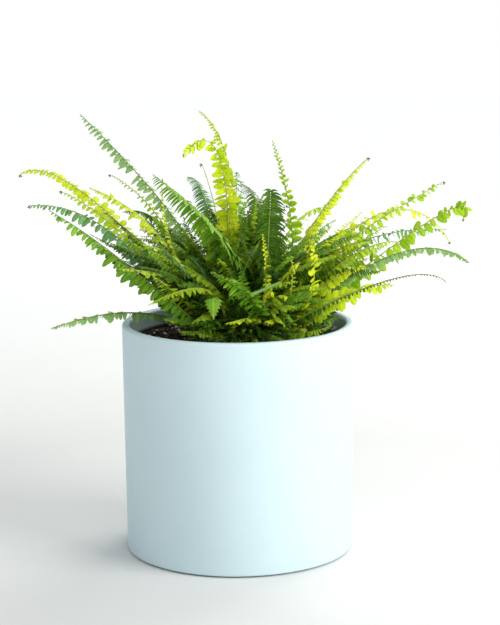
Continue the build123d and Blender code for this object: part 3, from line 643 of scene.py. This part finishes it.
# Each frond: its curve's base, middle and tip in millimetres, as in the CAD part, its look, and the
# length and width of its largest leaflet. The rest is as in build_frond.
YOUNG = (0.40, 0.60, 0.85, 1.0, 0.90, 0.70, 0.45, 0.25)
SPARSE = (0.35, 0.50, 0.65, 1.0, 0.80, 0.55, 0.35, 0.2)
WHIP = (1.0, 1.0, 0.9, 0.5, 0.25, 0.16, 0.12, 0.1)
FRONDS = {
    "left_tall": ((-38, 22), (-45, 20, 325), (-170, 60, 470), "pale", 12, 8, dict(
        fold=44, gap=0.8, roll=-44, lean=20, sizes=(0.4, 0.5, 0.8, 0.95, 1.0, 0.85, 0.5, 0.2))),
    "left_lime": ((-26, -2), (-160, 45, 380), (-236, 50, 405), "lime", 11, 9, dict(
        fold=22, roll=-50, gap=0.66, round=True, curl=True, bare=0.3, lean=20)),
    "left_dark": ((-45, -25), (-130, -30, 350), (-215, -60, 385), "blue", 12, 8, dict(
        fold=32, roll=-38, gap=0.9, curl=True, bare=0.1, wild=1.8)),
    "left_low": ((-38, -38), (-115, -50, 320), (-190, -100, 385), "green", 14.5, 8.5, dict(
        fold=46, roll=-30, gap=1.05, bare=0.1, wild=2.0)),
    "left_crozier": ((-28, -8), (-115, -5, 340), (-185, -20, 395), "fresh", 8, 6.5, dict(
        fold=20, roll=-40, gap=1.1, round=True, curl=True, bare=0.3, sizes=YOUNG)),
    "left_bright": ((-30, -15), (-80, 0, 340), (-155, -30, 400), "lime", 12.5, 6.5, dict(
        fold=14, roll=-12, gap=0.55, bare=0.2, lean=24)),
    "left_thin": ((-18, 21), (-80, 45, 350), (-140, 90, 400), "fresh", 7, 5.5, dict(
        fold=20, roll=-45, gap=1.35, round=True, curl=True, bare=0.35, sizes=SPARSE)),
    "rim_left": ((-38, 8), (-115, -10, 262), (-195, -70, 257), "pale", 8.5, 6.5, dict(
        fold=32, roll=-25, gap=0.8, bare=0.1, wild=1.6)),
    "tall_lime": ((-8, 8), (-5, 0, 400), (-40, 30, 475), "lime", 15, 7.5, dict(
        fold=14, roll=60, gap=0.8, bare=0.3, sizes=(0.5, 0.7, 1.0, 1.0, 0.9, 0.5, 0.22, 0.1))),
    "tall_branch": ((-12, -14), (-15, -25, 420), (-55, -40, 435), "lime", 13, 8, dict(
        fold=18, roll=48, gap=0.75, bare=0.35, round=True, curl=True, sizes=(0.5, 0.8, 1.0, 1.0, 0.95,
        0.85, 0.6, 0.3))),
    "tall_thin": ((18, 10), (60, 50, 310), (40, 50, 440), "fresh", 14, 8, dict(
        fold=10, roll=-35, gap=1.05, bare=0.3, round=True, sizes=(0.8, 1.0, 1.0, 1.0, 0.75, 0.4, 0.25,
        0.15))),
    "arching_left": ((-10, -38), (0, -45, 320), (-85, -90, 420), "green", 18, 7, dict(
        fold=20, roll=22, gap=0.62, bare=0.1, lean=6, sag=0.45, wild=0.6, sizes=(0.8, 0.9, 1.0, 1.0,
        0.9, 0.7, 0.45, 0.15))),
    "arching_back": ((-9, 26), (-30, 75, 360), (-55, 100, 395), "blue", 18, 4.8, dict(
        fold=15, roll=-12, gap=0.66, lean=5, sag=0.45, wild=0.5)),
    "arching_front": ((20, -30), (30, -55, 310), (35, -60, 400), "dark", 19, 5.0, dict(
        fold=8, roll=-4, gap=0.62, bare=0.05, lean=2, sag=0.6, wild=0.5, sizes=(0.8, 1.0, 1.0, 1.0, 1.0,
        0.95, 0.8, 0.6))),
    "top_dark": ((16, 32), (30, 35, 345), (5, 80, 390), "dark", 16, 4.6, dict(
        fold=10, roll=0, gap=0.66, lean=4, sag=0.5, wild=0.5)),
    "right_lime": ((20, 0), (80, 10, 350), (140, 0, 425), "lime", 10, 7.5, dict(
        fold=30, roll=35, gap=0.7, bare=0.28, curl=True, round=True)),
    "right_tall": ((30, -8), (74, -14, 306), (220, -10, 400), "fresh", 10.5, 8.5, dict(
        fold=15, roll=42, gap=0.95, round=True, curl=True, bare=0.25, sizes=YOUNG, wild=2.2)),
    "right_droop": ((26, 9), (150, 20, 360), (235, 60, 325), "lime", 9, 7, dict(
        fold=16, roll=50, gap=1.0, round=True, bare=0.25, curl=True, wild=2.2)),
    "right_far": ((46, -22), (200, -46, 362), (231, -98, 372), "fresh", 13, 9.5, dict(
        fold=20, roll=50, gap=0.9, round=True, curl=True, bare=0.15, sizes=YOUNG, wild=2.2)),
    "right_pale": ((44, -32), (160, -56, 328), (235, -120, 330), "pale", 10, 6.5, dict(
        fold=22, roll=5, gap=0.62, bare=0.2)),
    "right_thin": ((26, -48), (148, -122, 312), (210, -145, 315), "dark", 9, 6, dict(
        fold=20, roll=30, gap=1.2, bare=0.15, sizes=WHIP)),
    "right_low": ((40, -42), (108, -70, 288), (162, -90, 303), "lime", 13, 9.5, dict(
        fold=14, roll=52, gap=0.8, round=True, bare=0.2, wild=2.0)),
    "right_back": ((21, 20), (110, 35, 320), (235, 90, 335), "blue", 12, 8, dict(
        fold=38, roll=28, gap=0.85, bare=0.2, wild=2.0)),
    "front_lime": ((44, -30), (72, -40, 318), (76, -55, 360), "lime", 12, 8.5, dict(
        fold=8, roll=20, gap=0.95, round=True, bare=0.2)),
    "front_left": ((-15, -27), (-30, -65, 295), (-90, -120, 290), "fresh", 9, 5, dict(
        fold=20, roll=0, gap=0.85, bare=0.3)),
    "front_pale": ((4, -28), (20, -90, 280), (-25, -190, 335), "green", 12, 9, dict(
        fold=10, roll=24, gap=0.5, bare=0.2, lean=26)),
    "back_tall": ((0, 22), (0, 85, 360), (0, 150, 395), "green", 15, 6.5, dict(
        fold=25)),
    "back_left": ((-20, 34), (-75, 90, 335), (-130, 150, 350), "dark", 14, 6.5, dict(
        fold=30)),
    "back_right": ((14, 38), (60, 100, 335), (110, 165, 350), "fresh", 13, 6.5, dict(
        fold=25)),
    "back_low": ((-4, 40), (-15, 120, 310), (-30, 190, 300), "green", 13, 6.5, dict(
        fold=30)),
}


def finish_frond(parts, name, look):
    """Make the frond's object with its three materials and let it ride on the liner."""
    stem = STEM_LIME if look in ("lime", "fresh") else STEM_GREEN
    made = parts.make(name, [LEAF_LOOKS[look], stem, STEM_BROWN])
    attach(made, "liner")
    return made


def shared_slots(look):
    """The slots of leaf, stem and crozier in a piece that has all of SHARED_MATERIALS."""
    looks = list(LEAF_LOOKS)
    return looks.index(look), len(looks) + (0 if look in ("lime", "fresh") else 1), len(looks) + 2


def make_named_fronds():
    """The fronds that have a CAD blade, each in place of its own."""
    for name, (base, middle, tip, look, long, wide, style) in FRONDS.items():
        style = dict(style)
        template = ROUND_LEAF if style.pop("round", False) else LONG_LEAF
        path = frond_curve(base, middle, tip, np.linspace(0, 1, 48))
        sway = np.sin(np.linspace(0, 3.1, 48) * 2 + random.uniform(0, 6.28)) * 1.2
        path = path + np.cross(unit(path[-1] - path[0]), UP) * (sway * np.linspace(0, 1, 48))[:, None]
        parts = MeshParts()
        build_frond(parts, path, long, wide, template=template, **style)
        made = finish_frond(parts, "fern_" + name, look)
        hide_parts("frond_" + name)


# The dense middle of the fern: tiers of shorter fronds. Each tier has a count, the range of the
# directions it leaves in, of its tips' radius and height, and of its leaflets' length, and how often
# each look comes up.
TIERS = (
    (84, (0, 360), (8, 78), (318, 386), (9, 13), dict(dark=0.40, green=0.36, fresh=0.14, blue=0.10)),
    (50, (190, 345), (40, 84), (296, 356), (6, 9), dict(dark=0.46, green=0.32, fresh=0.14, blue=0.08)),
    (80, (0, 360), (66, 112), (300, 356), (8, 12),
     dict(dark=0.42, green=0.34, fresh=0.14, lime=0.04, blue=0.06)),
    # These low tiers take the dark look most often: painted shade for the deep middle of the fern
    (60, (0, 360), (52, 104), (256, 300), (7, 10), dict(dark=0.50, green=0.32, fresh=0.14, lime=0.04)),
    (100, (215, 345), (50, 110), (241, 266), (5, 8), dict(dark=0.54, green=0.30, fresh=0.12, lime=0.04)),
    (60, (222, 320), (64, 84), (237, 248), (5, 8), dict(dark=0.55, green=0.35, fresh=0.10)),
    (50, (296, 345), (92, 128), (262, 304), (7, 10), dict(dark=0.20, green=0.34, fresh=0.30, lime=0.16)),
    (40, (300, 348), (80, 110), (243, 262), (6, 9), dict(dark=0.40, green=0.36, fresh=0.18, lime=0.06)),
    (36, (318, 385), (104, 168), (306, 362), (8, 11), dict(lime=0.22, fresh=0.36, green=0.30, dark=0.12)),
    (30, (316, 344), (92, 113), (258, 288), (8, 11), dict(lime=0.30, fresh=0.40, green=0.30)),
    (44, (150, 232), (88, 160), (306, 372), (8, 12), dict(fresh=0.22, green=0.34, dark=0.28, blue=0.16)),
)
GOLDEN_ANGLE = 137.508

# On the left the foliage stands clear of the rim: its lower edge rises outwards from here
LEFT_EDGE = 70.0
LEFT_EDGE_HEIGHT = 262.0
SECTORS = 24


def middle_frond_path(turn, tip_radius, tip_height):
    """The curve of one short frond that leaves the crown at this angle and arches to its tip."""
    outward = np.array([math.cos(turn), math.sin(turn)])
    base = outward * random.uniform(6, 34)
    swing = turn + random.normal(0, 0.22)
    tip = np.array([math.cos(swing) * tip_radius, math.sin(swing) * tip_radius, tip_height])
    tip[2] = max(tip[2], LEFT_EDGE_HEIGHT + 1.05 * (-tip[0] - LEFT_EDGE))
    rise = (tip_height - FROND_BASE_HEIGHT) * random.uniform(0.47, 0.68) + random.uniform(0, 9)
    middle = [*(outward * tip_radius * random.uniform(0.40, 0.55)), FROND_BASE_HEIGHT + rise]
    share = np.linspace(0, 1, 26)
    path = frond_curve(base, middle, tip, share)
    sway = np.sin(share * random.uniform(4, 9) + random.uniform(0, 6.28)) * random.uniform(0.8, 2.4) * share
    return path + np.cross(unit(path[-1] - path[0]), UP) * sway[:, None]


def make_foliage_core():
    """The dense middle: many short fronds, gathered by sector into pieces that ride on the liner."""
    sectors = [MeshParts() for _ in range(SECTORS)]
    for count, span, radii, heights, lengths, mix in TIERS:
        names, weights = list(mix), np.array(list(mix.values()))
        for number in range(count):
            turn = span[0] + (number * GOLDEN_ANGLE) % 360 * (span[1] - span[0]) / 360
            path = middle_frond_path(math.radians(turn), random.uniform(*radii), random.uniform(*heights))
            clear = is_clear(path)
            first_blocked = len(path) if clear[2:].all() else 2 + int(np.argmin(clear[2:]))
            if first_blocked < 12:
                continue
            path = path[:first_blocked]
            look = str(random.choice(names, p=weights / weights.sum()))
            length = random.uniform(*lengths)
            template = ROUND_LEAF_SMALL if look in ("lime", "fresh") else SMALL_LEAF
            sector = sectors[int(turn % 360 / 360 * SECTORS)]
            slim = random.uniform(0.62, 0.8) if template is ROUND_LEAF_SMALL else random.uniform(0.42, 0.58)
            build_frond(sector, path, length, length * slim,
                        gap=random.uniform(0.75, 0.95), fold=random.uniform(5, 55),
                        roll=random.normal(0, 42),
                        bare=0.25, thick=0.7, template=template, slots=shared_slots(look))
    for number, parts in enumerate(sectors, 1):
        made = parts.make(f"foliage_sector_{number}", SHARED_MATERIALS)
        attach(made, "liner")
        if number == 1:
            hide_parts("foliage_core")


# Young shoots in front of the dense middle, in the same form as the fronds
SHOOTS = (
    ((-6, -14), (-18, -20, 350), (-36, -20, 422), "lime", 3, 2.4, dict(
        bare=0.72, gap=2.4, thick=0.9, curl=True)),
    ((-24, -20), (-66, -30, 330), (-78, -30, 406), "lime", 8, 5, dict(
        bare=0.35, gap=1.2, sizes=SPARSE, curl=True)),
    ((14, -28), (50, -64, 275), (56, -75, 332), "lime", 5.5, 2.6, dict(
        bare=0.2, gap=2.2, thick=0.9)),
    ((8, -32), (28, -74, 290), (26, -78, 356), "lime", 7, 6, dict(
        bare=0.25, gap=1.0, roll=20)),
    ((36, -34), (74, -66, 284), (77, -76, 344), "lime", 13, 9, dict(
        bare=0.3, gap=0.8, roll=8, fold=8)),
    ((0, -34), (6, -72, 285), (2, -82, 330), "green", 9, 6, dict(
        bare=0.15, gap=0.8, roll=10)),
    ((38, -34), (82, -62, 268), (111, -85, 287), "lime", 9, 3.0, dict(
        bare=0.2, gap=0.8, roll=10)),
    ((34, -38), (70, -62, 272), (92, -84, 268), "fresh", 9, 3.4, dict(
        bare=0.2, gap=0.8)),
    ((40, -20), (96, -50, 300), (134, -66, 318), "lime", 12, 9.5, dict(
        bare=0.2, gap=0.8, roll=48, fold=12)),
    ((40, -26), (86, -48, 256), (104, -42, 262), "green", 9, 5, dict(
        bare=0.15, gap=0.7, roll=15)),
    ((44, -22), (92, -38, 262), (110, -30, 276), "dark", 9, 5, dict(
        bare=0.15, gap=0.7, roll=-10)),
    ((30, -34), (76, -66, 250), (98, -58, 256), "fresh", 8, 4.5, dict(
        bare=0.15, gap=0.7)),
    ((20, -46), (14, -68, 264), (2, -74, 298), "dark", 13, 3.4, dict(
        bare=0.1, gap=0.66, sag=0.5, wild=0.5)),
    ((42, -10), (110, -36, 318), (168, -48, 342), "fresh", 10, 8, dict(
        bare=0.2, gap=0.9, roll=30)),
    ((-30, -32), (-84, -58, 296), (-128, -74, 330), "green", 12, 7, dict(
        bare=0.15, fold=40, roll=-25)),
    ((-36, -10), (-110, -30, 310), (-160, -44, 352), "dark", 12, 7, dict(
        bare=0.15, fold=40, roll=-25)),
)


def make_shoots():
    """The young shoots, one broad lobed leaf and one dried leaf, as one piece."""
    looks = list(LEAF_LOOKS)
    parts = MeshParts()
    for base, middle, tip, look, long, wide, style in SHOOTS:
        path = frond_curve(base, middle, tip, np.linspace(0, 1, 32))
        build_frond(parts, path, long, wide, slots=shared_slots(look), template=ROUND_LEAF, **style)
    lobed = np.array([[-25.0, -84.0, 290.0]])
    add_leaflets(parts, LOBED_LEAF, lobed, np.array([[0.0, -0.25, -1.0]]), np.array([[0.0, -1.0, 0.3]]),
                 22.0, 18.0, looks.index("green"), 0.15, 0.0)
    add_tube(parts, [(-12, -40, 262), (-20, -70, 288), (-25, -84, 290)], [0.8, 0.6, 0.5], len(looks))
    dried = np.array([[8.0, -84.0, 292.0]])
    add_leaflets(parts, LONG_LEAF, dried, np.array([[1.0, -0.05, 0.35]]), np.array([[-0.3, -0.5, 1.0]]),
                 42.0, 6.0, looks.index("pale"), 0.30, 0.0)
    made = parts.make("young_shoots", SHARED_MATERIALS)
    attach(made, "liner")


make_named_fronds()
make_foliage_core()
make_shoots()


# Crown and soil ------------


# The holes round the tubes in the soil, in millimetres, and how many of each small thing there are
FILLER_HOLE, GAUGE_HOLE = 15.6, 9.6
CRUMBS, STUBS, CURLED_FRONDS = 900, 64, 12


def rough_ball(subdivisions):
    """A unit icosphere as points and triangles."""
    mesh = bpy.data.meshes.new("ball")
    ball = bmesh.new()
    bmesh.ops.create_icosphere(ball, subdivisions=subdivisions, radius=1.0)
    ball.to_mesh(mesh)
    ball.free()
    points = np.array([vertex.co[:] for vertex in mesh.vertices])
    faces = np.array([polygon.vertices[:] for polygon in mesh.polygons])
    bpy.data.meshes.remove(mesh)
    return points, faces


def make_crown():
    """Leaf bases on the root ball: a rough mound, brown stubs on it, and young curled fronds."""
    parts = MeshParts()
    rings, spokes = 14, 60
    points, quads, triangles = [(0, 0, CROWN_TOP - 1.0)], [], []
    for ring in range(1, rings + 1):
        radius = CROWN_RADIUS * ring / rings
        height = SOIL_TOP + 0.4 + (CROWN_TOP - SOIL_TOP - 1.5) * (1 - (ring / rings) ** 2)
        for spoke in range(spokes):
            turn = 2 * math.pi * spoke / spokes
            bump = random.uniform(-1.2, 0.8) if ring < rings else 0.0
            points.append((radius * math.cos(turn), radius * math.sin(turn), height + bump))
    for spoke in range(spokes):
        after = (spoke + 1) % spokes
        triangles.append((0, 1 + spoke, 1 + after))
        for ring in range(rings - 1):
            low, high = 1 + ring * spokes, 1 + (ring + 1) * spokes
            quads.append((low + spoke, high + spoke, high + after, low + after))
    under = len(points)
    points.append((0, 0, SOIL_TOP + 0.3))
    last = 1 + (rings - 1) * spokes
    for spoke in range(spokes):
        triangles.append((under, last + (spoke + 1) % spokes, last + spoke))
    parts.add(np.array(points, float), [quads, triangles], 0)
    for number in range(STUBS):
        turn = math.radians(number * GOLDEN_ANGLE)
        radius = CROWN_RADIUS * 0.93 * math.sqrt((number + 0.5) / STUBS)
        foot = np.array([radius * math.cos(turn), radius * math.sin(turn), SOIL_TOP + 3.0])
        lean = np.array([math.cos(turn), math.sin(turn), 0]) * random.uniform(0.1, 0.6)
        rise = random.uniform(8, 20)
        share = np.linspace(0, 1, 6)[:, None]
        path = foot + UP * rise * share + lean * rise * share**1.6
        add_tube(parts, path, np.linspace(1.9, 1.1, 6), 1)
    for number in range(CURLED_FRONDS):
        turn = math.radians(number * GOLDEN_ANGLE + 40)
        outward = np.array([math.cos(turn), math.sin(turn), 0])
        share = np.linspace(0, 1, 12)[:, None]
        foot = outward * random.uniform(12, 34) + UP * (CROWN_TOP - 6)
        path = foot + UP * random.uniform(22, 45) * share + outward * 10 * share**2
        add_tube(parts, path, np.linspace(1.2, 0.9, 12), 2)
        add_crozier(parts, path, 1.3, 1)
    brown = soil_finish("crown_fibre", (0.035, 0.022, 0.012), (0.17, 0.11, 0.05), 420.0)
    made = parts.make("crown_stubs", [brown, STEM_BROWN, STEM_LIME])
    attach(made, "liner")
    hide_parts("fern_crown")


def soil_height(x, y):
    """The soil's surface above its level, in millimetres, as a sum of a few long and short waves."""
    long_waves = np.sin(x * 0.06 + 1.0) * np.cos(y * 0.05) * 0.7
    middle_waves = np.sin(x * 0.21 + y * 0.13) * 0.4
    short_waves = np.sin(x * 0.63 - y * 0.41 + 2.0) * np.cos(y * 0.7) * 0.35
    return 1.2 + long_waves + middle_waves + short_waves


def make_soil_surface():
    """The loose top of the soil: an uneven skin round the tubes, which rides on the liner."""
    parts = MeshParts()
    rings, spokes = 62, 220
    holes = ((FILLER_MIDDLE, FILLER_HOLE), (GAUGE_MIDDLE, GAUGE_HOLE))
    radius = np.linspace(4.0, SOIL_RADIUS - 0.2, rings)
    turn = np.arange(spokes) * 2 * math.pi / spokes
    x = radius[:, None] * np.cos(turn)[None]
    y = radius[:, None] * np.sin(turn)[None]
    gone = np.zeros((rings, spokes), bool)
    for middle, reach in holes:
        away = np.hypot(x - middle[0], y - middle[1])
        near = (away < reach + 1.4) & (away > reach - 1.4)
        pull = np.where(near, reach / np.maximum(away, 1e-6), 1.0)
        x = middle[0] + (x - middle[0]) * pull
        y = middle[1] + (y - middle[1]) * pull
        gone |= away <= reach - 1.4
    z = SOIL_TOP + soil_height(x, y) + random.normal(0, 0.16, x.shape)
    in_grip = (np.abs(x) < 74) & (np.abs(y) > 74)
    z = np.where(in_grip, np.minimum(z, SOIL_TOP + 0.9), z)
    index = np.arange(rings * spokes).reshape(rings, spokes)
    quads = []
    total = rings * spokes
    border = {}
    for ring in range(rings - 1):
        for spoke in range(spokes):
            after = (spoke + 1) % spokes
            cell = [(ring, spoke), (ring + 1, spoke), (ring + 1, after), (ring, after)]
            if any(gone[corner] for corner in cell):
                continue
            face = [int(index[corner]) for corner in cell]
            quads.append(face)
            quads.append([corner + total for corner in face[::-1]])
            for first, second in zip(face, face[1:] + face[:1]):
                if (second, first) in border:
                    del border[(second, first)]
                else:
                    border[(first, second)] = True
    for first, second in border:
        quads.append((second, first, first + total, second + total))
    top = np.stack([x.ravel(), y.ravel(), z.ravel()], axis=1)
    bottom = top.copy()
    bottom[:, 2] = SOIL_TOP + 0.02
    used = np.unique(np.array(quads))
    renumber = np.full(2 * total, -1)
    renumber[used] = np.arange(len(used))
    parts.add(np.concatenate([top, bottom])[used], [renumber[np.array(quads)]], 0)
    made = parts.make("soil_surface", [SOIL], 70.0)
    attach(made, "liner")


def make_soil_crumbs():
    """Crumbs, bark chips and a few white perlite grains that lie on the soil."""
    ball_points, ball_faces = rough_ball(2)
    parts = MeshParts()
    made_count = 0
    keep_off = ((FILLER_MIDDLE, FILLER_HOLE + 7.9), (GAUGE_MIDDLE, GAUGE_HOLE + 3.9))
    while made_count < CRUMBS:
        radius = SOIL_RADIUS * math.sqrt(random.uniform(0.12, 0.96))
        turn = random.uniform(0, 2 * math.pi)
        x, y = radius * math.cos(turn), radius * math.sin(turn)
        size = random.uniform(0.9, 2.6)
        near_tube = any(math.hypot(x - m[0], y - m[1]) < reach + size for m, reach in keep_off)
        in_grip = abs(x) < 76 and abs(y) > 72
        if near_tube or in_grip or radius + size > SOIL_RADIUS:
            continue
        kind = 2 if random.uniform() < 0.05 else (1 if random.uniform() < 0.25 else 0)
        stretch = np.array([1.7, 0.9, 0.5]) if kind == 1 else np.array([1.0, 0.9, 0.75])
        points = ball_points * (1 + random.normal(0, 0.13, (len(ball_points), 1))) * stretch * size
        spin = Matrix.Rotation(random.uniform(0, 6.28), 3, "Z")
        spin = spin @ Matrix.Rotation(random.normal(0, 0.3), 3, "X")
        height = SOIL_TOP + float(soil_height(x, y)) + size * 0.25
        parts.add(points @ np.array(spin).T + [x, y, height], [ball_faces], kind)
        made_count += 1
    bark = soil_finish("bark_chip", (0.05, 0.028, 0.015), (0.16, 0.09, 0.045), 500.0)
    perlite = soil_finish("perlite", (0.55, 0.54, 0.50), (0.78, 0.77, 0.73), 600.0)
    made = parts.make("soil_crumbs", [SOIL, bark, perlite], 80.0)
    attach(made, "liner")


SOIL = soil_finish("potting_soil_damp", (0.010, 0.007, 0.005), (0.055, 0.035, 0.022))
make_crown()
make_soil_surface()
make_soil_crumbs()


# Finishes of the CAD pieces ------------

# Each finish and the CAD nodes that have it
FINISHES = (
    (pot_finish(), "outer_pot"),
    (rubber("rubber_dark", (0.022, 0.022, 0.024)), "foot_ring", "drain_bung", "cap_seal"),
    (moulded_plastic("liner_anthracite", (0.030, 0.033, 0.036), (0.042, 0.045, 0.049)),
     "liner_wall", "liner_floor", "service_head", "flip_cap", "grip_front", "grip_back"),
    (moulded_plastic("basket_grey", (0.055, 0.058, 0.062), (0.075, 0.078, 0.082), 1800.0),
     "wick_basket_1", "wick_basket_2", "wick_basket_3"),
    (felt("wick_felt", (0.34, 0.32, 0.27), (0.58, 0.55, 0.49)),
     "wick_core_1", "wick_core_2", "wick_core_3"),
    (felt("mat_felt", (0.045, 0.048, 0.050), (0.12, 0.125, 0.13)), "capillary_mat"),
    (granulate_finish(), "wicking_granulate"),
    (SOIL, "potting_soil", "bedding_soil"),
    (soil_finish("root_ball", (0.04, 0.025, 0.014), (0.22, 0.16, 0.09), 340.0), "root_ball"),
    (moulded_plastic("tube_grey", (0.040, 0.043, 0.048), (0.055, 0.058, 0.064), 3000.0, 0.00004,
                     0.30, 0.44), "filler_tube", "gauge_tube"),
    (brushed_steel(), "cap_hinge_pin", "float_rod"),
    (clear_plastic(), "gauge_window"),
    (float_foam(), "gauge_float"),
    (moulded_plastic("flag_red", (0.58, 0.02, 0.012), (0.68, 0.03, 0.02), 3000.0, 0.00004,
                     0.28, 0.40), "level_flag"),
)
for finish, *nodes in FINISHES:
    for node in nodes:
        cad_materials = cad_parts[node].data.materials
        cad_materials.clear()
        cad_materials.append(finish)


# Floor, light and camera ------------


def make_floor():
    """A wide round pale floor that fades to white away from the planter, by a painted glow that grows away
    from it.
    """
    radius, spokes = 7.0, 96
    turns = [2 * math.pi * spoke / spokes for spoke in range(spokes)]
    rim = [(radius * math.cos(turn), radius * math.sin(turn), 0.0) for turn in turns]
    mesh = bpy.data.meshes.new("floor")
    mesh.from_pydata(rim, [], [list(range(spokes))])
    paper = Shader("floor_paper", 0.9, specular_ior_level=0.1)
    paper.surface.inputs["Emission Color"].default_value = (1.0, 1.0, 1.0, 1.0)
    # Painted light: the floor glows, not at all near the planter and up to 0.6 further out, so it fades
    # into the white room
    away = paper.node("VectorMath", vector=paper.place)
    away.operation = "LENGTH"
    glow = paper.ranged(away.outputs["Value"], 0.5, 2.4, 0.0, 0.6)
    paper.put(paper.surface.inputs["Emission Strength"], glow)
    tone = paper.ranged(paper.noise(3.0, 4.0), 0.3, 0.7)
    paper.colour(paper.blend(tone, (0.78, 0.785, 0.77), (0.81, 0.815, 0.80)))
    mesh.materials.append(paper.material)
    link_object("floor", mesh)


def add_area_light(name, place, target, size, power, colour):
    """A square soft light that faces its target."""
    light = bpy.data.lights.new(name, "AREA")
    light.size = size
    light.energy = power
    light.color = colour
    made = link_object(name, light)
    made.location = place
    made.rotation_mode = "QUATERNION"
    made.rotation_quaternion = (Vector(target) - Vector(place)).to_track_quat("-Z", "Y")


def make_world():
    """A bright even room, seen as near white and a little dimmer as a light."""
    world = bpy.data.worlds.new("studio")
    world.use_nodes = True
    tree = world.node_tree
    room = tree.nodes["Background"]
    room.inputs["Color"].default_value = (0.93, 0.97, 1.0, 1.0)
    room.inputs["Strength"].default_value = 0.52
    wall = tree.nodes.new("ShaderNodeBackground")
    wall.inputs["Color"].default_value = (1.0, 1.0, 1.0, 1.0)
    seen = tree.nodes.new("ShaderNodeLightPath")
    mix = tree.nodes.new("ShaderNodeMixShader")
    tree.links.new(seen.outputs["Is Camera Ray"], mix.inputs[0])
    tree.links.new(room.outputs[0], mix.inputs[1])
    tree.links.new(wall.outputs[0], mix.inputs[2])
    tree.links.new(mix.outputs[0], tree.nodes["World Output"].inputs["Surface"])
    bpy.context.scene.world = world


def make_lights():
    """A large window light at the right, a soft one in front, and one behind the leaves."""
    middle = (0.0, 0.0, 0.25)
    fern = (0.0, 0.0, 0.35)
    add_area_light("window_right", (1.7, -1.0, 1.15), middle, size=1.4, power=38.0,
                   colour=(1.0, 0.985, 0.96))
    add_area_light("front_fill", (0.3, -2.2, 1.6), middle, size=1.6, power=10.0, colour=(1.0, 1.0, 1.0))
    add_area_light("leaf_back_light", (0.7, 1.1, 1.5), fern, size=1.0, power=16.0,
                   colour=(1.0, 0.99, 0.95))


def make_camera():
    """A long lens from the front, a little above the rim and looking slightly down."""
    distance, height = 2.07, 0.641
    pitch, yaw, roll = math.radians(10.45), math.radians(0.37), math.radians(0.5)
    forward = Vector((math.sin(yaw) * math.cos(pitch), math.cos(yaw) * math.cos(pitch), -math.sin(pitch)))
    right = forward.cross(Vector((0, 0, 1))).normalized()
    above = right.cross(forward)
    rolled_right = right * math.cos(roll) - above * math.sin(roll)
    rolled_above = above * math.cos(roll) + right * math.sin(roll)
    camera = bpy.data.cameras.new("camera")
    camera.sensor_width = 36.0
    camera.lens = 112.3
    made = link_object("camera", camera)
    turn = Matrix((rolled_right, rolled_above, -forward)).transposed()
    made.matrix_world = Matrix.Translation((0, -distance, height)) @ turn.to_4x4()
    bpy.context.scene.camera = made


make_floor()
make_world()
make_lights()
make_camera()
bpy.context.scene.view_settings.view_transform = "Standard"

bpy.context.view_layer.update()
